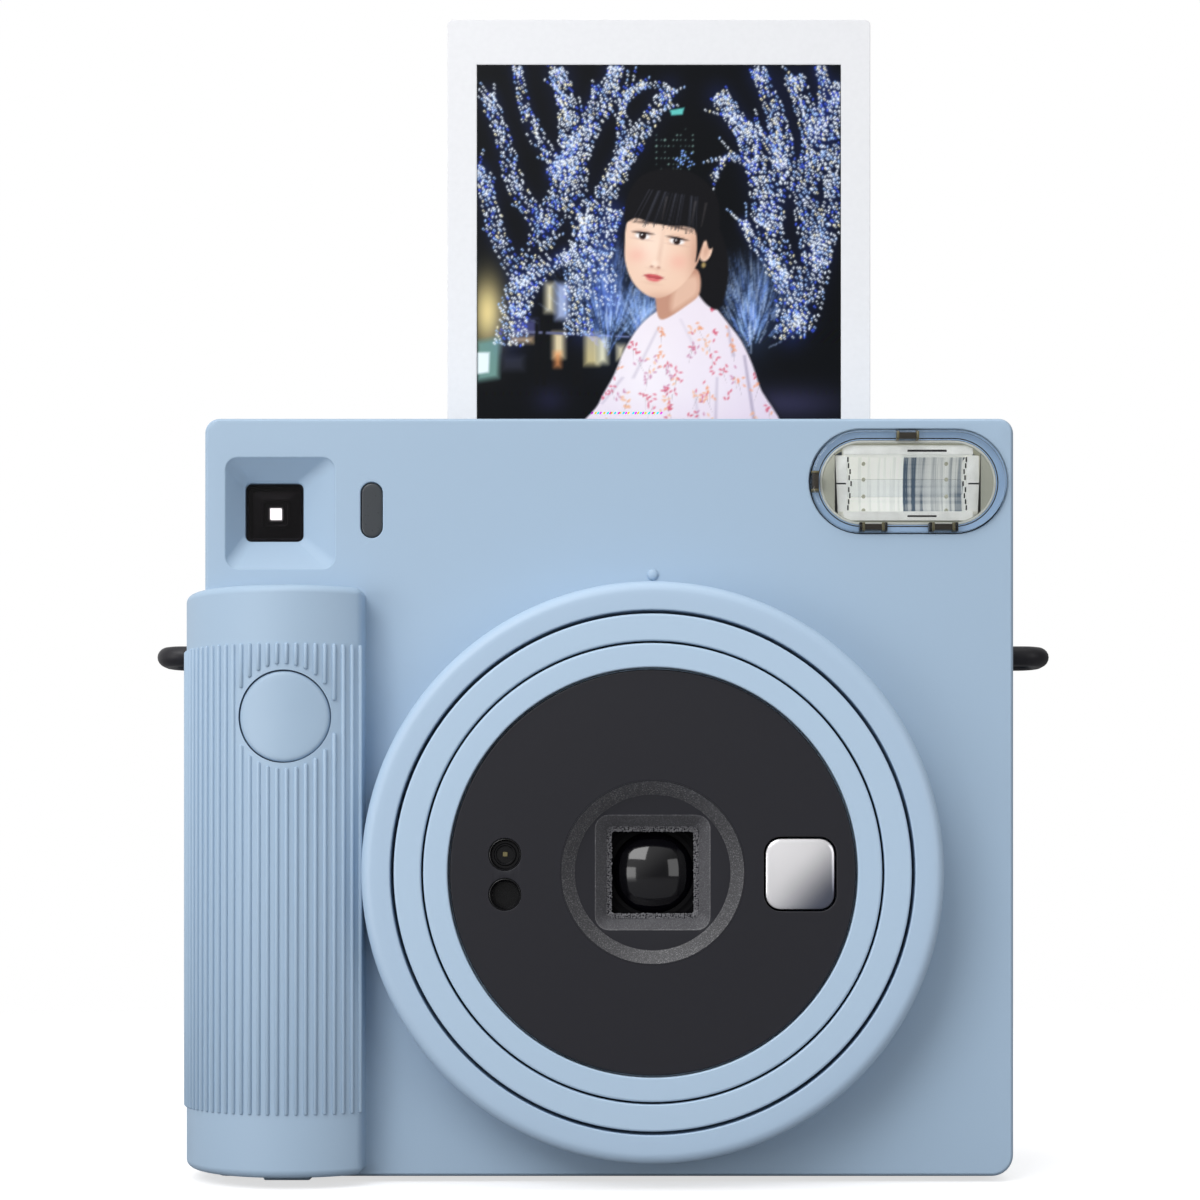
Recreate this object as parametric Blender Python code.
"""Square-format instant camera with its print half ejected.

Run it with: blender --background --python part.py
The camera looks along -Y and stands on Z = 0; X = 0 is midway between its strap lugs.
Every size below is in millimetres, and the objects are made in metres.
"""

import math

import bmesh
import bpy
from mathutils import Matrix, Vector

MM = 0.001
GAP = 0.35  # running and fitting gap between neighbouring pieces

# Body shells
LEFT, RIGHT = -62.2, 65.2
BOTTOM, TOP = 0.8, 120.2
FRONT, PARTING, BACK = -17.75, 1.85, 28.75
WALL = 2.0
TOP_CORNER, BOTTOM_CORNER, RIM_ROUND = 2.2, 3.0, 2.0
FRONT_COVER_BACK = PARTING - 0.15
REAR_COVER_FRONT = PARTING + 0.15
FRONT_INSIDE = FRONT + WALL

# Screw posts that join the two shells, as (x, z)
POSTS = [(-56.5, 6.2), (-56.5, 90.6), (58.5, 8.0), (58.5, 97.0)]
POST_RADIUS, REAR_POST_RADIUS = 3.0, 3.6
SCREW_HEAD_Y, SCREW_HEAD_RADIUS, SCREW_SHANK_RADIUS = 6.4, 2.3, 1.0

# Grip
GRIP_LEFT, GRIP_RIGHT, GRIP_TOP = -66.4, -37.3, 92.9
GRIP_APEX_X, GRIP_APEX_Y, GRIP_SIDE_Y = -48.0, -27.0, -8.0
GRIP_RIGHT_ARC = 18.0
BUTTON_X, BUTTON_Z, BUTTON_RADIUS = -48.2, 72.6, 6.95
BUTTON_TRAVEL = 1.2

# Lens group, turned about the optical axis
LENS_X, LENS_Z = 8.35, 48.66
RING_RADIUS, RING_BORE, RING_FRONT = 44.6, 40.05, -28.75
RING_SKIRT, RING_SKIRT_END = 42.6, -15.2
OUTER_BARREL_RADIUS, INNER_BARREL_RADIUS, FACE_RADIUS = 39.5, 35.0, 31.0
FACE_FRONT = -28.2
HOOD_RADIUS, HOOD_FLOOR_RADIUS, HOOD_FLOOR = 13.9, 11.9, -26.7
HOOD_SQUARE, HOOD_THROAT = 17.4, 14.0
MIRROR = (30.87, 48.43, 10.5, 10.8)
SENSOR_X, SENSOR_ZS, SENSOR_RADIUS = -14.2, (45.3, 51.4), 2.55

# Viewfinder, flash and light sensor
FINDER_RECESS = (-58.74, -41.6, 96.41, 113.83)
FINDER_WINDOW = (-56.32, -47.05, 101.14, 110.41)
FINDER_X, FINDER_Z, FINDER_FLOOR = -51.69, 105.77, -14.0
FLASH_X, FLASH_Z, FLASH_LENGTH, FLASH_HEIGHT = 48.55, 110.1, 31.3, 16.5
FLASH_POCKET_FLOOR = FRONT + 1.2
SLOT_SENSOR = (-35.8, 105.6, 3.5, 8.8)

# Film, print and rollers
FILM_X, FILM_Y = 9.4, 13.0
PRINT_WIDTH, PRINT_HEIGHT, PRINT_THICKNESS, PRINT_TOP = 72.0, 86.0, 0.5, 193.9
PACK_LOW, PACK_HIGH, PACK_FRONT, PACK_BACK, PACK_HALF = 4.6, 96.5, 11.0, 26.2, 40.0
FILM_GATE_Z = 53.2
ROLLER_RADIUS, ROLLER_Z = 3.5, 111.5
ROLLER_OFFSET = PRINT_THICKNESS / 2 + 0.2 + ROLLER_RADIUS
GEAR_LEFT, GEAR_RIGHT = -35.7, -33.2
ROLLER_TEETH, IDLER_TEETH, PINION_TEETH = 16, 44, 10
MODULE = 2 * ROLLER_OFFSET / ROLLER_TEETH
IDLER_Z = ROLLER_Z - MODULE * (ROLLER_TEETH + IDLER_TEETH) / 2
MOTOR_Y = 13.0

# Back door and battery door
DOOR_LEFT, DOOR_RIGHT, DOOR_TOP, DOOR_INNER = -40.1, 60.5, 103.2, 26.8
SEAT = 26.5
HINGE_X, HINGE_Y, KNUCKLE_RADIUS = 63.0, 26.85, 1.9
HINGE_LOW, HINGE_HIGH = 12.0, 94.0
BATTERY_X, BATTERY_Y, BATTERY_RADIUS = -50.5, 10.0, 7.8
BATTERY_HINGE_X, BATTERY_HINGE_Z = -65.2, 10.2
BAY_FRONT, BAY_BACK, BAY_LOW, BAY_HIGH = 3.4, 19.6, 8.5, 74.0

# Strap lugs
LUG_Z, LUG_THICKNESS, LUG_TIP = 84.9, 3.7, 75.2


def clear_scene():
    for old in list(bpy.data.objects):
        bpy.data.objects.remove(old, do_unlink=True)


# Outlines and closed shapes, all in millimetres


def arc(u, v, radius, start, end, steps):
    """Points on a circle about (u, v), from start to end in degrees."""
    turns = [math.radians(start + (end - start) * i / steps) for i in range(steps + 1)]
    return [(u + radius * math.cos(t), v + radius * math.sin(t)) for t in turns]


def rounded_rectangle(u0, u1, v0, v1, low_radius, high_radius=None, steps=4):
    high = low_radius if high_radius is None else high_radius
    return (
        arc(u0 + low_radius, v0 + low_radius, low_radius, 180, 270, steps)
        + arc(u1 - low_radius, v0 + low_radius, low_radius, 270, 360, steps)
        + arc(u1 - high, v1 - high, high, 0, 90, steps)
        + arc(u0 + high, v1 - high, high, 90, 180, steps)
    )


def pill(u, v, length, height, steps=10):
    half = (length - height) / 2
    right = arc(u + half, v, height / 2, -90, 90, steps)
    return right + arc(u - half, v, height / 2, 90, 270, steps)


def upright_pill(u, v, width, height, steps=6):
    half = (height - width) / 2
    top = arc(u, v + half, width / 2, 0, 180, steps)
    return top + arc(u, v - half, width / 2, 180, 360, steps)


def prism(outline, axis, low, high):
    """The outline drawn in the two other axes (in XYZ order), from low to high along axis."""
    shape = bmesh.new()
    order = {"X": (2, 0, 1), "Y": (0, 2, 1), "Z": (0, 1, 2)}[axis]
    rings = []
    for level in (low, high):
        corners = [(u, v, level) for u, v in outline]
        rings.append([shape.verts.new([c[i] for i in order]) for c in corners])
    shape.faces.new(rings[0])
    shape.faces.new(rings[1])
    for i in range(len(outline)):
        j = (i + 1) % len(outline)
        shape.faces.new((rings[0][i], rings[0][j], rings[1][j], rings[1][i]))
    bmesh.ops.recalc_face_normals(shape, faces=shape.faces)
    return shape


def box(x0, x1, y0, y1, z0, z1):
    return prism([(x0, y0), (x1, y0), (x1, y1), (x0, y1)], "Z", z0, z1)


def turned(profile, axis, centre, steps=32):
    """The profile, as (radius, height along axis) points, turned a full circle about axis.
    A profile that starts and ends on the axis is open; any other is a closed loop."""
    shape = bmesh.new()
    radial, along = {"X": ("Y", "X"), "Y": ("X", "Y"), "Z": ("X", "Z")}[axis]
    unit = {"X": Vector((1, 0, 0)), "Y": Vector((0, 1, 0)), "Z": Vector((0, 0, 1))}
    centre = Vector(centre)
    verts = [shape.verts.new(centre + unit[radial] * r + unit[along] * h) for r, h in profile]
    edges = [shape.edges.new(pair) for pair in zip(verts, verts[1:])]
    if profile[0][0] > 0:
        edges.append(shape.edges.new((verts[-1], verts[0])))
    bmesh.ops.spin(shape, geom=verts + edges, cent=centre, axis=unit[along],
                   angle=2 * math.pi, steps=steps, use_merge=True)
    bmesh.ops.remove_doubles(shape, verts=shape.verts, dist=1e-4)
    bmesh.ops.recalc_face_normals(shape, faces=shape.faces)
    return shape


def rod(radius, axis, centre, low, high, steps=24):
    return turned([(0, low), (radius, low), (radius, high), (0, high)], axis, centre, steps)


def lens_turned(profile, steps=64):
    return turned(profile, "Y", (LENS_X, 0, LENS_Z), steps)


def frustum(front, back, y_front, y_back):
    """A four-sided taper between two rectangles, each as (x0, x1, z0, z1)."""
    shape = bmesh.new()
    rings = []
    for (x0, x1, z0, z1), y in ((front, y_front), (back, y_back)):
        corners = ((x0, z0), (x1, z0), (x1, z1), (x0, z1))
        rings.append([shape.verts.new((x, y, z)) for x, z in corners])
    shape.faces.new(rings[0])
    shape.faces.new(rings[1])
    bmesh.ops.bridge_loops(shape, edges=[e for f in shape.faces for e in f.edges])
    bmesh.ops.recalc_face_normals(shape, faces=shape.faces)
    return shape


def square(x, z, side):
    return (x - side / 2, x + side / 2, z - side / 2, z + side / 2)


def round_rim(shape, chosen, width, segments=3):
    """Bevels the edges whose two ends both pass the test."""
    edges = [e for e in shape.edges if all(chosen(v.co) for v in e.verts)]
    bmesh.ops.bevel(shape, geom=edges, offset=width, segments=segments, profile=0.5,
                    affect="EDGES", clamp_overlap=True, material=-1)
    return shape


def combine(base, tools, operation):
    """The shape after a Boolean with each tool in turn."""
    for tool in tools:
        pair = []
        for shape in (base, tool):
            mesh = bpy.data.meshes.new("working")
            shape.to_mesh(mesh)
            shape.free()
            pair.append(bpy.data.objects.new("working", mesh))
            bpy.context.scene.collection.objects.link(pair[-1])
        modifier = pair[0].modifiers.new("combine", "BOOLEAN")
        modifier.object, modifier.operation, modifier.solver = pair[1], operation, "EXACT"
        bpy.context.view_layer.update()
        base = bmesh.new()
        base.from_object(pair[0], bpy.context.evaluated_depsgraph_get())
        for used in pair:
            mesh = used.data
            bpy.data.objects.remove(used, do_unlink=True)
            bpy.data.meshes.remove(mesh)
    return base


def cut(base, *tools):
    return combine(base, tools, "DIFFERENCE")


def join(base, *tools):
    return combine(base, tools, "UNION")


# Objects, bodies and materials


def material(name, colour, roughness, metallic=0.0):
    made = bpy.data.materials.get(name) or bpy.data.materials.new(name)
    made.use_nodes = True
    shader = made.node_tree.nodes["Principled BSDF"]
    shader.inputs["Base Color"].default_value = (*colour, 1)
    shader.inputs["Roughness"].default_value = roughness
    shader.inputs["Metallic"].default_value = metallic
    return made


def finishes():
    return {
        "blue": material("blue_plastic", (0.40, 0.53, 0.66), 0.45),
        "black": material("black_plastic", (0.025, 0.025, 0.03), 0.5),
        "matt": material("matt_black", (0.01, 0.01, 0.012), 0.9),
        "glass": material("clear_glass", (0.85, 0.88, 0.9), 0.05),
        "tint": material("dark_window", (0.06, 0.065, 0.07), 0.2),
        "amber": material("amber_window", (0.5, 0.3, 0.06), 0.2),
        "mirror": material("mirror", (0.8, 0.8, 0.82), 0.05, 1.0),
        "silver": material("reflector", (0.75, 0.75, 0.74), 0.2, 1.0),
        "grey": material("grey_plastic", (0.3, 0.31, 0.28), 0.6),
        "steel": material("steel", (0.6, 0.6, 0.62), 0.3, 1.0),
        "nylon": material("white_nylon", (0.75, 0.74, 0.7), 0.5),
        "board": material("circuit_board", (0.03, 0.16, 0.07), 0.5),
        "sleeve": material("capacitor_sleeve", (0.03, 0.03, 0.05), 0.4),
        "cell": material("battery_sleeve", (0.55, 0.5, 0.42), 0.4),
        "paper": material("print_paper", (0.85, 0.85, 0.86), 0.4),
    }


def body(name, x=0.0, y=0.0, z=0.0):
    """An empty at a point on the body's joint axis; the body's pieces are its children."""
    holder = bpy.data.objects.new(name + "_body", None)
    bpy.context.scene.collection.objects.link(holder)
    holder.location = (x * MM, y * MM, z * MM)
    return holder


def piece(name, shape, finish, holder):
    """Turns a shape in millimetres into an object that rides on holder."""
    shape.transform(Matrix.Translation(-holder.location) @ Matrix.Scale(MM, 4))
    mesh = bpy.data.meshes.new(name)
    shape.to_mesh(mesh)
    shape.free()
    mesh.shade_smooth()
    mesh.set_sharp_from_angle(angle=math.radians(35))
    mesh.materials.append(finish)
    made = bpy.data.objects.new(name, mesh)
    bpy.context.scene.collection.objects.link(made)
    made.parent = holder
    return made


# Body shells


def shell_outline():
    return rounded_rectangle(LEFT, RIGHT, BOTTOM, TOP, BOTTOM_CORNER, TOP_CORNER)


def foot(x0, x1, y0, y1):
    return box(x0, x1, y0, y1, 0, BOTTOM + 0.6)


def front_cover(finish, holder):
    shape = prism(shell_outline(), "Y", FRONT, FRONT_COVER_BACK)
    round_rim(shape, lambda p: p.y < FRONT + 0.01, RIM_ROUND)
    inner = rounded_rectangle(LEFT + WALL, RIGHT - WALL, BOTTOM + WALL, TOP - WALL, 1.5)
    shape = cut(shape, prism(inner, "Y", FRONT_INSIDE, PARTING + 5))
    x0, x1, z0, z1 = FINDER_RECESS
    finder_boss = box(x0 - 1.7, x1 + 1.7, FRONT_INSIDE - 0.3, FINDER_FLOOR + 2, z0 - 1.7, z1 + 1.7)
    flash_boss = prism(pill(FLASH_X, FLASH_Z, FLASH_LENGTH + 1.5, FLASH_HEIGHT + 1.5), "Y",
                       FRONT_INSIDE - 0.3, FRONT_INSIDE + 2.7)
    posts = [rod(POST_RADIUS, "Y", (x, 0, z), FRONT_INSIDE - 0.3, FRONT_COVER_BACK, 16)
             for x, z in POSTS]
    index_dot = rod(0.93, "Y", (LENS_X, 0, 95.4), FRONT - 0.4, FRONT + 0.5, 16)
    shape = join(shape, finder_boss, flash_boss, index_dot, foot(56.2, 60.6, -14.0, -8.0), *posts)
    lens_bore = rod(RING_SKIRT + 0.4, "Y", (LENS_X, 0, LENS_Z), FRONT - 3, FRONT_INSIDE + 1, 64)
    taper = frustum(FINDER_RECESS, FINDER_WINDOW, FRONT, FINDER_FLOOR)
    window = box(FINDER_WINDOW[0], FINDER_WINDOW[1], FINDER_FLOOR - 1, FINDER_FLOOR + 4,
                 FINDER_WINDOW[2], FINDER_WINDOW[3])
    flash_pocket = prism(pill(FLASH_X, FLASH_Z, FLASH_LENGTH, FLASH_HEIGHT), "Y",
                         FRONT - 3, FLASH_POCKET_FLOOR)
    flash_hole = prism(pill(FLASH_X, FLASH_Z, 27.8, 13.4), "Y", FRONT - 3, FRONT_INSIDE + 5)
    sensor_hole = prism(upright_pill(*SLOT_SENSOR), "Y", FRONT - 3, FRONT_INSIDE + 1)
    grip_opening = box(-59.0, -41.0, FRONT - 3, FRONT_INSIDE + 1, 10.0, 86.0)
    bores = [rod(1.35, "Y", (x, 0, z), -7.0, PARTING + 2, 12) for x, z in POSTS]
    shape = cut(shape, lens_bore, taper, window, flash_pocket, flash_hole, sensor_hole,
                grip_opening, *bores)
    piece("front_cover", shape, finish["blue"], holder)


def rear_cover(finish, holder):
    shape = prism(shell_outline(), "Y", REAR_COVER_FRONT, BACK)
    round_rim(shape, lambda p: p.y > BACK - 0.01, RIM_ROUND)
    inner = rounded_rectangle(LEFT + WALL, RIGHT - WALL, BOTTOM + WALL, TOP - WALL, 1.5)
    seat_back = SEAT - WALL
    column_right, band_low = -42.5, 105.6
    bulge = prism(rounded_rectangle(GRIP_LEFT, LEFT + 1, REAR_COVER_FRONT, 22, 1.2, 1.2, 2), "Z",
                  BOTTOM, GRIP_TOP)
    round_rim(bulge, lambda p: p.z > GRIP_TOP - 0.01 and p.x < LEFT, 0.8, 2)
    shape = cut(shape, prism(inner, "Y", REAR_COVER_FRONT - 3, seat_back))
    shape = cut(shape,
                box(LEFT + WALL, column_right, seat_back - 1, BACK - WALL,
                    BOTTOM + WALL, TOP - WALL),
                box(column_right - 1, RIGHT - WALL, seat_back - 1, BACK - WALL,
                    band_low, TOP - WALL),
                box(DOOR_LEFT - 0.4, HINGE_X - 1.1, SEAT, BACK + 3, BOTTOM - 3, DOOR_TOP + 0.4))
    posts = [rod(REAR_POST_RADIUS, "Y", (x, 0, z), REAR_COVER_FRONT,
                 (SEAT if x > 0 else BACK) - WALL + 0.5, 16) for x, z in POSTS]
    feet = [foot(-52.5, -45.4, 14, 20), foot(56.2, 60.6, 14, 20)]
    shape = join(shape, bulge, *posts, *feet)
    trench = box(HINGE_X - 2.2, RIGHT + 3, HINGE_Y - KNUCKLE_RADIUS - GAP, BACK + 3,
                 HINGE_LOW, HINGE_HIGH)
    shape = cut(shape, trench)
    for low, high in cover_knuckles():
        shape = join(shape, rod(KNUCKLE_RADIUS, "Z", (HINGE_X, HINGE_Y, 0), low, high, 16),
                     box(HINGE_X - 1.7, HINGE_X + 1.8, HINGE_Y - 4, HINGE_Y, low, high))
    pack_opening = box(FILM_X - PACK_HALF - 0.6, FILM_X + PACK_HALF + 0.6, seat_back - 2, SEAT + 2,
                       PACK_LOW - 0.7, PACK_HIGH + 0.7)
    battery_bay = box(GRIP_LEFT - 2, LEFT + WALL + 1, BAY_FRONT, BAY_BACK, BAY_LOW, BAY_HIGH)
    peg_holes = rod(0.9, "Y", (BATTERY_HINGE_X, 0, BATTERY_HINGE_Z), 2.5, 20.8, 12)
    pin_bore = rod(1.15, "Z", (HINGE_X, HINGE_Y, 0), HINGE_LOW - 4, HINGE_HIGH + 4, 12)
    lug_left = box(GRIP_LEFT - 2, LEFT + WALL + 1, 7.65, 14.35, LUG_Z - 2.2, LUG_Z + 2.2)
    lug_right = box(RIGHT - WALL - 1, RIGHT + 2, 7.65, 14.35, LUG_Z - 2.2, LUG_Z + 2.2)
    print_slot = box(FILM_X - 39, FILM_X + 39, FILM_Y - 2.6, FILM_Y + 2.6, TOP - 5, TOP + 2)
    eyepiece_seat = box(*square(FINDER_X, FINDER_Z, 15.0)[:2], BACK - 1, BACK + 2,
                        *square(FINDER_X, FINDER_Z, 15.0)[2:])
    eyepiece_hole = box(*square(FINDER_X, FINDER_Z, 12.2)[:2], BACK - 5, BACK + 2,
                        *square(FINDER_X, FINDER_Z, 12.2)[2:])
    counter_hole = box(-55.0, -48.0, BACK - 5, BACK + 2, 77.5, 82.5)
    latch_slot = box(-48.2, -43.8, BACK - 5, BACK + 2, 43.5, 57.5)
    bores = []
    for x, z in POSTS:
        bores.append(rod(1.35, "Y", (x, 0, z), REAR_COVER_FRONT - 2, SCREW_HEAD_Y + 1, 12))
        bores.append(rod(2.7, "Y", (x, 0, z), SCREW_HEAD_Y - 0.3, BACK + 2, 16))
    shape = cut(shape, pack_opening, battery_bay, peg_holes, pin_bore, lug_left, lug_right,
                print_slot, eyepiece_seat, eyepiece_hole, counter_hole, latch_slot, *bores)
    piece("rear_cover", shape, finish["blue"], holder)


def cover_knuckles():
    """The cover's hinge knuckles, as (low, high) heights; the door's lie between each pair."""
    return [(HINGE_LOW + 0.01, 17.7), (34.3, 40.0), (66.0, 71.7), (88.3, HINGE_HIGH - 0.01)]


def cover_screws(finish, holder):
    for number, (x, z) in enumerate(POSTS, 1):
        head = SCREW_HEAD_Y + 1.6
        profile = [(0, -5), (SCREW_SHANK_RADIUS, -4.2), (SCREW_SHANK_RADIUS, SCREW_HEAD_Y),
                   (SCREW_HEAD_RADIUS, SCREW_HEAD_Y), (SCREW_HEAD_RADIUS, head - 0.3),
                   (SCREW_HEAD_RADIUS - 0.4, head), (0, head)]
        shape = turned(profile, "Y", (x, 0, z), 14)
        slot = box(x - 1.4, x + 1.4, head - 0.7, head + 1, z - 0.3, z + 0.3)
        piece(f"cover_screw_{number}", cut(shape, slot), finish["steel"], holder)


# Grip, shutter button and switch


def grip_curve(inset):
    """The grip's outer line seen from above, from its left side round to its right edge."""
    half = GRIP_APEX_X - GRIP_LEFT - inset
    depth = GRIP_SIDE_Y - GRIP_APEX_Y - inset
    turns = [math.radians(90 * i / 12) for i in range(13)]
    left = [(GRIP_APEX_X - half * math.cos(t), GRIP_SIDE_Y - depth * math.sin(t)) for t in turns]
    corner = 1.3
    radius = GRIP_RIGHT_ARC - inset
    last = math.degrees(math.asin((GRIP_RIGHT - inset - corner - GRIP_APEX_X) / radius))
    right = arc(GRIP_APEX_X, GRIP_APEX_Y + GRIP_RIGHT_ARC, radius, -90, -90 + last, 5)[1:]
    turn = arc(GRIP_RIGHT - inset - corner, right[-1][1] + corner, corner, -90 + last, 0, 3)
    return left, right + turn[1:]


def grip_shell(finish, holder):
    left, right = grip_curve(0)
    corner = (LEFT - 0.3, FRONT - 0.3)
    outline = [(GRIP_LEFT, FRONT_COVER_BACK), *left, *right, (GRIP_RIGHT, FRONT - 0.3), corner,
               (LEFT - 0.3, FRONT_COVER_BACK)]
    shape = prism(outline, "Z", BOTTOM, GRIP_TOP)

    def outside(p):
        return p.x < LEFT - 0.4 or p.y < FRONT - 0.4

    round_rim(shape, lambda p: p.z > GRIP_TOP - 0.01 and outside(p), 1.4, 2)
    round_rim(shape, lambda p: p.z < BOTTOM + 0.01 and outside(p), 2.0, 2)
    inner_left, inner_right = grip_curve(WALL)
    base = FRONT + 1.0
    inner_left = [p for p in inner_left if p[1] < base]
    hollow = [(inner_left[0][0] - 0.3, base), *inner_left, *inner_right,
              (GRIP_RIGHT - WALL, base)]
    cavity = prism(hollow, "Z", BOTTOM + WALL, GRIP_TOP - WALL)
    button_hole = rod(BUTTON_RADIUS + GAP, "Y", (BUTTON_X, 0, BUTTON_Z), -32, -20, 40)
    shape = join(shape, foot(-52.5, -45.4, -22.5, -18.5))
    piece("grip_shell", cut(shape, cavity, button_hole), finish["blue"], holder)


def shutter_button(finish, holder):
    left, right = grip_curve(0.1)
    block = prism([*left, *right, (GRIP_RIGHT, 0), (GRIP_LEFT, 0)], "Z", 50, 90)
    stem = turned([(0, -32), (BUTTON_RADIUS, -32), (BUTTON_RADIUS, -22.5), (2.2, -22.5),
                   (2.2, -20.0), (0, -20.0)], "Y", (BUTTON_X, 0, BUTTON_Z), 40)
    piece("shutter_button", combine(stem, [block], "INTERSECT"), finish["blue"], holder)


def shutter_switch(finish, holder):
    board = box(-57, -43, -15.2, -13.6, 62, 84)
    switch = box(BUTTON_X - 3, BUTTON_X + 3, -18.3, -14.5, BUTTON_Z - 3, BUTTON_Z + 3)
    piece("shutter_switch", join(board, switch), finish["board"], holder)


# Lens group


def lens_ring(finish, holder):
    profile = [(RING_BORE, RING_FRONT + 0.2), (RING_BORE + 0.2, RING_FRONT),
               (RING_RADIUS - 1.7, RING_FRONT), (RING_RADIUS - 0.75, RING_FRONT + 0.45),
               (RING_RADIUS - 0.2, RING_FRONT + 1.2), (RING_RADIUS, RING_FRONT + 2.2),
               (RING_RADIUS, FRONT - 0.3), (RING_SKIRT, FRONT - 0.3),
               (RING_SKIRT, RING_SKIRT_END), (RING_BORE, RING_SKIRT_END)]
    piece("lens_ring", lens_turned(profile), finish["blue"], holder)
    retainer = [(40.3, -14.9), (45.0, -14.9), (45.0, -13.9), (40.3, -13.9)]
    piece("ring_retainer", lens_turned(retainer, 48), finish["black"], holder)


def barrel_guide(finish, holder):
    profile = [(36.4, -24), (37.6, -24), (37.6, -8), (42.6, -8), (42.6, -6.85), (36.4, -6.85)]
    piece("barrel_guide", lens_turned(profile, 48), finish["black"], holder)


def outer_barrel(finish, holder):
    r = OUTER_BARREL_RADIUS
    bore = INNER_BARREL_RADIUS + GAP
    profile = [(bore, RING_FRONT), (r - 0.2, RING_FRONT), (r, RING_FRONT + 0.2), (r, -9.5),
               (r - 1.45, -9.5), (r - 1.45, -27.25), (bore, -27.25)]
    piece("outer_barrel", lens_turned(profile), finish["blue"], holder)


def inner_barrel(finish, holder):
    r = INNER_BARREL_RADIUS
    wall = r - 1.4
    profile = [(FACE_RADIUS + 0.3, RING_FRONT), (r, RING_FRONT), (r, -10), (wall, -10),
               (wall, -12.5), (18, -12.5), (18, -13.7), (wall, -13.7), (wall, -25.2),
               (29.5, -25.2), (29.5, -26.3), (FACE_RADIUS + 0.3, -26.3)]
    piece("inner_barrel", lens_turned(profile), finish["blue"], holder)


def face_plate(finish, holder):
    profile = [(HOOD_RADIUS + 0.35, FACE_FRONT), (FACE_RADIUS - 0.3, FACE_FRONT),
               (FACE_RADIUS, FACE_FRONT + 0.3), (FACE_RADIUS, FACE_FRONT + 1.5),
               (HOOD_RADIUS + 0.35, FACE_FRONT + 1.5)]
    shape = lens_turned(profile)
    x, z, width, height = MIRROR
    opening = rounded_rectangle(x - width / 2 - GAP, x + width / 2 + GAP,
                                z - height / 2 - GAP, z + height / 2 + GAP, 2.6)
    holes = [rod(SENSOR_RADIUS, "Y", (SENSOR_X, 0, z), -30, -25, 24) for z in SENSOR_ZS]
    shape = cut(shape, prism(opening, "Y", -30, -25), *holes)
    piece("face_plate", shape, finish["black"], holder)
    inset = rounded_rectangle(x - width / 2, x + width / 2, z - height / 2, z + height / 2, 2.3)
    piece("selfie_mirror", prism(inset, "Y", FACE_FRONT + 0.1, FACE_FRONT + 1.4),
          finish["mirror"], holder)
    for name, z in zip(("lower_sensor_lens", "upper_sensor_lens"), SENSOR_ZS):
        dome = [(0, -27.6), (1.1, -27.4), (SENSOR_RADIUS - 0.35, -26.9),
                (SENSOR_RADIUS - 0.35, -25.6), (0, -25.6)]
        piece(name, turned(dome, "Y", (SENSOR_X, 0, z), 20), finish["tint"], holder)


def lens_hood(finish, holder):
    back = -21.6
    profile = [(0, HOOD_FLOOR), (HOOD_FLOOR_RADIUS, HOOD_FLOOR), (HOOD_RADIUS - 0.1, FACE_FRONT),
               (HOOD_RADIUS, FACE_FRONT), (HOOD_RADIUS, back), (0, back)]
    shape = lens_turned(profile, 48)
    mouth = frustum(square(LENS_X, LENS_Z, HOOD_SQUARE + 0.4), square(LENS_X, LENS_Z, HOOD_THROAT),
                    HOOD_FLOOR - 0.2, -23.8)
    throat = box(*square(LENS_X, LENS_Z, HOOD_THROAT)[:2], -25, back + 2,
                 *square(LENS_X, LENS_Z, HOOD_THROAT)[2:])
    piece("lens_hood", cut(shape, mouth, throat), finish["black"], holder)


def lens_cell(finish, holder):
    profile = [(6.9, -21.2), (12, -21.2), (12, -15.2), (22, -15.2), (22, -14.0), (5.0, -14.0),
               (5.0, -16.8), (6.9, -16.8)]
    piece("lens_cell", lens_turned(profile, 40), finish["matt"], holder)
    dome = [(0, -21.9), (2.3, -21.75), (4.6, -21.2), (6.5, -20.2), (6.5, -18.4), (0, -18.4)]
    piece("front_lens", lens_turned(dome, 40), finish["glass"], holder)
    rear = [(0, -16.4), (4.6, -16.4), (4.6, -15.4), (2.5, -14.8), (0, -14.6)]
    piece("rear_lens", lens_turned(rear, 32), finish["glass"], holder)


def shutter(finish, plate_holder, blade_holders):
    plate = lens_turned([(3.0, -13.6), (17.6, -13.6), (17.6, -12.95), (3.0, -12.95)], 32)
    pins = [rod(0.75, "Y", (LENS_X + side * 12, 0, LENS_Z), -13.2, -11.5, 12)
            for side in (-1, 1)]
    piece("shutter_plate", join(plate, *pins), finish["black"], plate_holder)
    for name, side, front in (("shutter_blade_left", -1, -12.6), ("shutter_blade_right", 1, -12.0)):
        outline = pill(LENS_X + side * 6, LENS_Z, 20.4, 8.4, 8)
        blade = prism(outline, "Y", front, front + 0.3)
        hole = rod(1.1, "Y", (LENS_X + side * 12, 0, LENS_Z), front - 1, front + 2, 12)
        piece(name, cut(blade, hole), finish["matt"], blade_holders[side])


def light_tube(finish, holder):
    profile = [(19.5, -12.2), (24, -12.2), (24, -11.2), (20.5, -11.2), (20.5, 5), (19.5, 5)]
    piece("light_tube", lens_turned(profile, 40), finish["matt"], holder)


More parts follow.
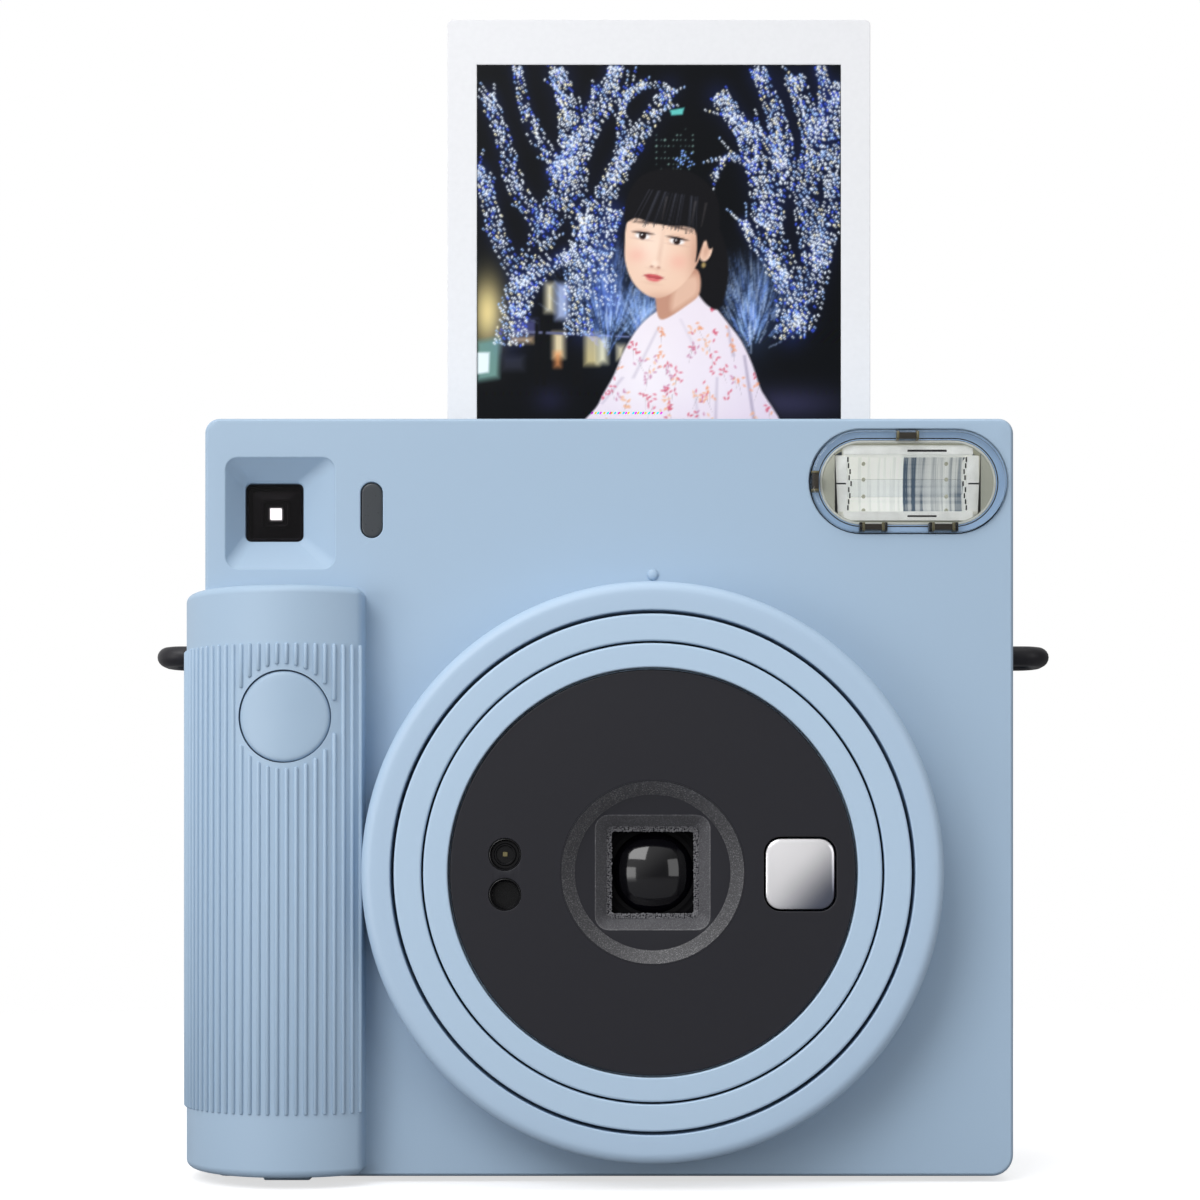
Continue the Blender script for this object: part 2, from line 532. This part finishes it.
def dark_chamber(finish, holder):
    plate_front, back = -6.5, 10.6
    lens = square(LENS_X, LENS_Z, 48)
    shape = frustum(lens, square(FILM_X, FILM_GATE_Z, 70), plate_front + 0.5, back - 0.5)
    plate = rod(42.6, "Y", (LENS_X, 0, LENS_Z), plate_front, plate_front + 1.2, 48)
    neck = rod(22.2, "Y", (LENS_X, 0, LENS_Z), -10.5, plate_front + 1, 40)
    flange = box(*square(FILM_X, FILM_GATE_Z, 76)[:2], back - 1.2, back,
                 *square(FILM_X, FILM_GATE_Z, 76)[2:])
    shape = join(shape, plate, neck, flange)
    cone = frustum(square(LENS_X, LENS_Z, 45.4), square(FILM_X, FILM_GATE_Z, 66),
                   plate_front + 1.7, back + 0.2)
    bore = rod(21.0, "Y", (LENS_X, 0, LENS_Z), -12, plate_front + 3, 40)
    piece("dark_chamber", cut(shape, cone, bore), finish["matt"], holder)


# Flash, viewfinder and light sensor


def flash(finish, holder):
    window = prism(pill(FLASH_X, FLASH_Z, FLASH_LENGTH - 0.6, FLASH_HEIGHT - 0.6), "Y",
                   FRONT - 1.0, FLASH_POCKET_FLOOR - 0.3)
    round_rim(window, lambda p: p.y < FRONT - 0.99, 0.7, 2)
    piece("flash_window", window, finish["glass"], holder)
    housing = prism(pill(FLASH_X, FLASH_Z, 27.2, 12.7), "Y", FRONT + 1.45, -12.9)
    mouth = box(FLASH_X - 11.3, FLASH_X + 11.3, FRONT, -12, FLASH_Z - 4.5, FLASH_Z + 4.5)
    piece("flash_housing", cut(housing, mouth), finish["grey"], holder)
    trough = box(FLASH_X - 12.2, FLASH_X + 12.2, -12.55, -4.6, FLASH_Z - 6.2, FLASH_Z + 6.2)
    hollow = prism(trough_line(), "X", FLASH_X - 11.4, FLASH_X + 11.4)
    piece("flash_reflector", cut(trough, hollow), finish["silver"], holder)
    tube = rod(1.4, "X", (0, -9.0, FLASH_Z), FLASH_X - 10.6, FLASH_X + 10.6, 14)
    piece("flash_tube", tube, finish["glass"], holder)
    capacitor = [(0, 62), (5.1, 62), (5.3, 62.3), (5.3, 87.7), (5.1, 88), (4.2, 88), (4.2, 87.6),
                 (0, 87.6)]
    piece("flash_capacitor", turned(capacitor, "Z", (57.3, -8, 0), 24), finish["sleeve"], holder)


def trough_line():
    """The reflector's section: a half ellipse, open to the front."""
    return [(-13.0 + 7.3 * math.cos(t), FLASH_Z + 5.5 * math.sin(t))
            for t in (math.radians(a) for a in range(-90, 91, 15))]


def viewfinder(finish, holder):
    x0, x1, z0, z1 = FINDER_WINDOW
    glass = box(x0 + 0.3, x1 - 0.3, FINDER_FLOOR + 0.3, FINDER_FLOOR + 1.3, z0 + 0.3, z1 - 0.3)
    piece("viewfinder_window", glass, finish["tint"], holder)
    outer, inner = square(FINDER_X, FINDER_Z, 11.6), square(FINDER_X, FINDER_Z, 9.6)
    tunnel = cut(box(*outer[:2], FINDER_FLOOR + 2.3, BACK - 1.35, *outer[2:]),
                 box(*inner[:2], FINDER_FLOOR, BACK, *inner[2:]))
    piece("viewfinder_tunnel", tunnel, finish["matt"], holder)
    eyepiece = rounded_rectangle(*square(FINDER_X, FINDER_Z, 14.4), 1.5, 1.5, 3)
    piece("viewfinder_eyepiece", prism(eyepiece, "Y", BACK - 0.9, BACK), finish["tint"], holder)


def sensor_window(finish, holder):
    x, z, width, height = SLOT_SENSOR
    shape = prism(upright_pill(x, z, width - 0.5, height - 0.5), "Y", FRONT + 0.1, FRONT + 1.9)
    piece("flash_sensor_window", shape, finish["tint"], holder)


# Film path


def gear_outline(teeth, y, z, phase):
    """Straight-flanked teeth; phase is where a tooth's middle points, in degrees from +Y."""
    pitch = MODULE * teeth / 2
    points = []
    for tooth in range(teeth):
        middle = phase + 360 * tooth / teeth
        step = 360 / teeth
        for share, radius in ((-0.27, pitch - 0.5), (-0.12, pitch + 0.36), (0.12, pitch + 0.36),
                              (0.27, pitch - 0.5)):
            angle = math.radians(middle + share * step)
            points.append((y + radius * math.cos(angle), z + radius * math.sin(angle)))
    return points


def rollers(finish, holders):
    """Each roller is one piece with its shaft and its gear. The two gears mesh with each other,
    and the front one with the idler below it."""
    for name, side in (("front_roller", -1), ("rear_roller", 1)):
        y = FILM_Y + side * ROLLER_OFFSET
        profile = [(0, -36.2), (1.2, -36.2), (1.2, -28.0), (ROLLER_RADIUS, -28.0),
                   (ROLLER_RADIUS, 46.8), (1.2, 46.8), (1.2, 50.5), (0, 50.5)]
        shape = turned(profile, "X", (0, y, ROLLER_Z), 20)
        phase = -90 + (0 if side < 0 else 180 / ROLLER_TEETH)
        gear = prism(gear_outline(ROLLER_TEETH, y, ROLLER_Z, phase), "X", GEAR_LEFT, GEAR_RIGHT)
        piece(name, join(shape, gear), finish["steel"], holders[side])


def idler_gear(finish, holder):
    y = FILM_Y - ROLLER_OFFSET
    shape = prism(gear_outline(IDLER_TEETH, y, IDLER_Z, 90 + 180 / IDLER_TEETH), "X",
                  GEAR_LEFT, GEAR_RIGHT)
    hole = rod(1.5, "X", (0, y, IDLER_Z), GEAR_LEFT - 2, GEAR_RIGHT + 2, 16)
    piece("idler_gear", cut(shape, hole), finish["nylon"], holder)


def motor_centre():
    """The motor's (y, z), one pinion and idler centre distance from the idler."""
    reach = MODULE * (IDLER_TEETH + PINION_TEETH) / 2
    across = MOTOR_Y - (FILM_Y - ROLLER_OFFSET)
    return MOTOR_Y, IDLER_Z - math.sqrt(reach * reach - across * across)


def motor(finish, holder, pinion_holder):
    y, z = motor_centre()
    can = [(0, -52.3), (2.0, -52.3), (2.0, -51.5), (6.0, -51.5), (6.0, -39.0), (5.6, -38.5),
           (2.2, -38.5), (2.2, -37.6), (0, -37.6)]
    piece("drive_motor", turned(can, "X", (0, y, z), 24), finish["steel"], holder)
    towards = math.degrees(math.atan2(IDLER_Z - z, FILM_Y - ROLLER_OFFSET - y))
    past_tooth = (towards - 270 - 180 / IDLER_TEETH) * IDLER_TEETH / 360 % 1
    phase = towards + (past_tooth + 0.5) * 360 / PINION_TEETH
    gear = prism(gear_outline(PINION_TEETH, y, z, phase), "X", GEAR_LEFT, GEAR_RIGHT)
    stub = rod(0.9, "X", (0, y, z), -37.2, GEAR_LEFT + 0.5, 12)
    piece("motor_pinion", join(gear, stub), finish["nylon"], pinion_holder)


def roller_brackets(finish, holder):
    for name, left, right, low in (("roller_bracket_left", -32.6, -31.2, 74.0),
                                   ("roller_bracket_right", 47.4, 48.8, 100.0)):
        shape = box(left, right, 3.0, 23.5, low, 117.5)
        holes = [rod(1.55, "X", (0, FILM_Y + side * ROLLER_OFFSET, ROLLER_Z), left - 1,
                     right + 1, 16) for side in (-1, 1)]
        if left < 0:
            y = FILM_Y - ROLLER_OFFSET
            axle = rod(1.15, "X", (0, y, IDLER_Z), GEAR_LEFT - 0.5, left + 0.7, 14)
            shape = join(shape, axle)
        piece(name, cut(shape, *holes), finish["steel"], holder)


def film_pack(finish, holder):
    shape = box(FILM_X - PACK_HALF, FILM_X + PACK_HALF, PACK_FRONT, PACK_BACK, PACK_LOW, PACK_HIGH)
    room = box(FILM_X - 36.9, FILM_X + 36.9, PACK_FRONT + 1, PACK_BACK - 1,
               PACK_LOW + 1, PACK_HIGH - 1)
    window = box(FILM_X - 31.5, FILM_X + 31.5, PACK_FRONT - 1, PACK_FRONT + 2,
                 FILM_GATE_Z - 31.5, FILM_GATE_Z + 31.5)
    exit_slot = box(FILM_X - 36.6, FILM_X + 36.6, FILM_Y - 0.8, FILM_Y + 0.8,
                    PACK_HIGH - 2, PACK_HIGH + 2)
    piece("film_pack", cut(shape, room, window, exit_slot), finish["black"], holder)
    half = PRINT_WIDTH / 2
    stack = box(FILM_X - half, FILM_X + half, 14.2, 22.0, 5.9, 91.9)
    piece("film_stack", stack, finish["paper"], holder)


def instant_print(finish, holder):
    half, thick = PRINT_WIDTH / 2, PRINT_THICKNESS / 2
    shape = box(FILM_X - half, FILM_X + half, FILM_Y - thick, FILM_Y + thick,
                PRINT_TOP - PRINT_HEIGHT, PRINT_TOP)
    piece("instant_print", shape, finish["paper"], holder)


def slot_trim(finish, holder):
    outer = rounded_rectangle(FILM_X - 38.7, FILM_X + 38.7, FILM_Y - 2.25, FILM_Y + 2.25, 0.8)
    slot = box(FILM_X - 36.8, FILM_X + 36.8, FILM_Y - 0.8, FILM_Y + 0.8, TOP - 8, TOP + 2)
    piece("slot_trim", cut(prism(outer, "Z", TOP - 2.3, TOP + 0.2), slot), finish["black"], holder)


# Back door, batteries and small parts


def film_door(finish, holder):
    outline = rounded_rectangle(DOOR_LEFT, DOOR_RIGHT, BOTTOM, DOOR_TOP, 1.0, 1.0, 2)
    shape = prism(outline, "Y", DOOR_INNER, BACK)
    round_rim(shape, lambda p: p.y > BACK - 0.01, 0.7, 2)
    relief = box(HINGE_X - 2.6, RIGHT, DOOR_INNER - 2, BACK + 2, HINGE_LOW, HINGE_HIGH)
    shape = cut(shape, relief)
    for low, high in ((18.05, 33.95), (72.05, 87.95)):
        shape = join(shape, rod(KNUCKLE_RADIUS, "Z", (HINGE_X, HINGE_Y, 0), low, high, 16),
                     box(HINGE_X - 4, HINGE_X, DOOR_INNER, BACK - 0.4, low, high))
    window = rounded_rectangle(26.0, 31.0, 46.0, 62.0, 1.2, 1.2, 3)
    pin_bore = rod(1.15, "Z", (HINGE_X, HINGE_Y, 0), HINGE_LOW, HINGE_HIGH, 12)
    shape = cut(shape, prism(window, "Y", DOOR_INNER - 2, BACK + 2), pin_bore)
    piece("film_door", shape, finish["blue"], holder)
    pane = rounded_rectangle(26.35, 30.65, 46.35, 61.65, 0.9, 0.9, 3)
    piece("film_window", prism(pane, "Y", DOOR_INNER + 0.2, BACK - 0.4), finish["amber"], holder)


def hinge_pin(finish, holder):
    shape = rod(0.8, "Z", (HINGE_X, HINGE_Y, 0), HINGE_LOW - 2, HINGE_HIGH + 2, 12)
    piece("door_hinge_pin", shape, finish["steel"], holder)


def door_latch(finish, holder):
    slider = box(-47.85, -44.15, BACK - 3, BACK, 46.5, 57.1)
    flange = box(-49.4, -42.9, BACK - 3.4, BACK - 2.35, 45.2, 58.4)
    grooves = [box(-50, -42, BACK - 0.5, BACK + 1, z - 0.35, z + 0.35) for z in (49.6, 51.8, 54.0)]
    piece("door_latch", cut(join(slider, flange), *grooves), finish["blue"], holder)


def battery_door(finish, holder):
    plate = box(GRIP_LEFT, -63.4, BAY_FRONT + GAP, BAY_BACK - GAP, 9.4, BAY_HIGH - GAP)
    pegs = rod(0.65, "Y", (BATTERY_HINGE_X, 0, BATTERY_HINGE_Z), 2.7, 20.5, 12)
    grooves = [box(GRIP_LEFT - 1, GRIP_LEFT + 0.4, 8, 15, z - 0.4, z + 0.4) for z in (64, 66.5, 69)]
    piece("battery_door", cut(join(plate, pegs), *grooves), finish["blue"], holder)


def batteries(finish, holder):
    holder_shape = box(-59.5, -41.2, 1.0, 19.0, 10.15, 67.0)
    room = box(-61.0, -42.2, 2.0, 18.0, 11.05, 66.1)
    piece("battery_holder", cut(holder_shape, room), finish["black"], holder)
    for name, low in (("battery_lower", 11.3), ("battery_upper", 38.5)):
        r, high = BATTERY_RADIUS, low + 26.0
        profile = [(0, low), (r - 0.5, low), (r, low + 0.5), (r, high - 0.5), (r - 0.5, high),
                   (3, high), (3, high + 0.8), (0, high + 0.8)]
        shape = turned(profile, "Z", (BATTERY_X, BATTERY_Y, 0), 24)
        piece(name, shape, finish["cell"], holder)


def circuit_board(finish, holder):
    shape = box(51.6, 53.2, 3.0, 23.5, 20.0, 90.0)
    chip = box(53.0, 54.6, 8, 18, 50, 60)
    connector = box(53.0, 54.6, 6, 12, 30, 42)
    piece("circuit_board", join(shape, chip, connector), finish["board"], holder)


def strap_lugs(finish, holder):
    for name, side, root, stem in (("strap_lug_left", -1, GRIP_LEFT, LEFT + WALL),
                                   ("strap_lug_right", 1, RIGHT, RIGHT - WALL)):
        near, far = abs(root) + GAP, LUG_TIP
        low, high = LUG_Z - LUG_THICKNESS / 2, LUG_Z + LUG_THICKNESS / 2
        outline = [(near, 5.0), *arc(far - 4, 9.0, 4, -90, 0, 5), *arc(far - 4, 13.0, 4, 0, 90, 5),
                   (near, 17.0)]
        loop = prism([(side * x, y) for x, y in outline], "Z", low, high)
        x0, x1 = sorted((side * (near + 1.1), side * (far - 2.3)))
        s0, s1 = sorted((side * (near + 0.5), stem))
        loop = join(loop, box(s0, s1, 8.0, 14.0, low, high))
        piece(name, cut(loop, box(x0, x1, 7.3, 14.7, low - 1, high + 1)), finish["black"], holder)


def film_counter(finish, holder, dial_holder):
    dial = [(0, 24.6), (8, 24.6), (8, 25.5), (2, 25.5), (2, 26.2), (0, 26.2)]
    piece("counter_dial", turned(dial, "Y", (-51.5, 0, 73.6), 32), finish["nylon"], dial_holder)
    pane = box(-54.65, -48.35, BACK - 1.7, BACK - 0.3, 77.85, 82.15)
    piece("counter_window", pane, finish["glass"], holder)


def main():
    clear_scene()
    finish = finishes()
    camera = body("camera")
    front_cover(finish, camera)
    rear_cover(finish, camera)
    cover_screws(finish, camera)
    grip_shell(finish, camera)
    shutter_button(finish, body("shutter_button", BUTTON_X, -27, BUTTON_Z))
    shutter_switch(finish, camera)

    on_axis = (LENS_X, 0, LENS_Z)
    lens_ring(finish, body("lens_ring", *on_axis))
    barrel_guide(finish, camera)
    outer_barrel(finish, body("outer_barrel", *on_axis))
    inner = body("inner_barrel", *on_axis)
    inner_barrel(finish, inner)
    face_plate(finish, inner)
    lens_hood(finish, inner)
    lens_cell(finish, inner)
    light_tube(finish, inner)
    blades = {side: body("blade_left" if side < 0 else "blade_right", LENS_X + side * 12, 0,
                         LENS_Z) for side in (-1, 1)}
    shutter(finish, inner, blades)
    dark_chamber(finish, camera)

    flash(finish, camera)
    viewfinder(finish, camera)
    sensor_window(finish, camera)

    roller_bodies = {side: body("front_roller" if side < 0 else "rear_roller", 0,
                                FILM_Y + side * ROLLER_OFFSET, ROLLER_Z) for side in (-1, 1)}
    rollers(finish, roller_bodies)
    idler_gear(finish, body("idler", 0, FILM_Y - ROLLER_OFFSET, IDLER_Z))
    motor(finish, camera, body("motor_pinion", 0, *motor_centre()))
    roller_brackets(finish, camera)
    film_pack(finish, camera)
    instant_print(finish, body("print", FILM_X, FILM_Y, PRINT_TOP))
    slot_trim(finish, camera)

    film_door(finish, body("film_door", HINGE_X, HINGE_Y, 0))
    hinge_pin(finish, camera)
    door_latch(finish, body("door_latch", -46, BACK, 51.8))
    battery_door(finish, body("battery_door", BATTERY_HINGE_X, 0, BATTERY_HINGE_Z))
    batteries(finish, camera)
    circuit_board(finish, camera)
    strap_lugs(finish, camera)
    film_counter(finish, camera, body("counter_dial", -51.5, 25, 73.6))


main()
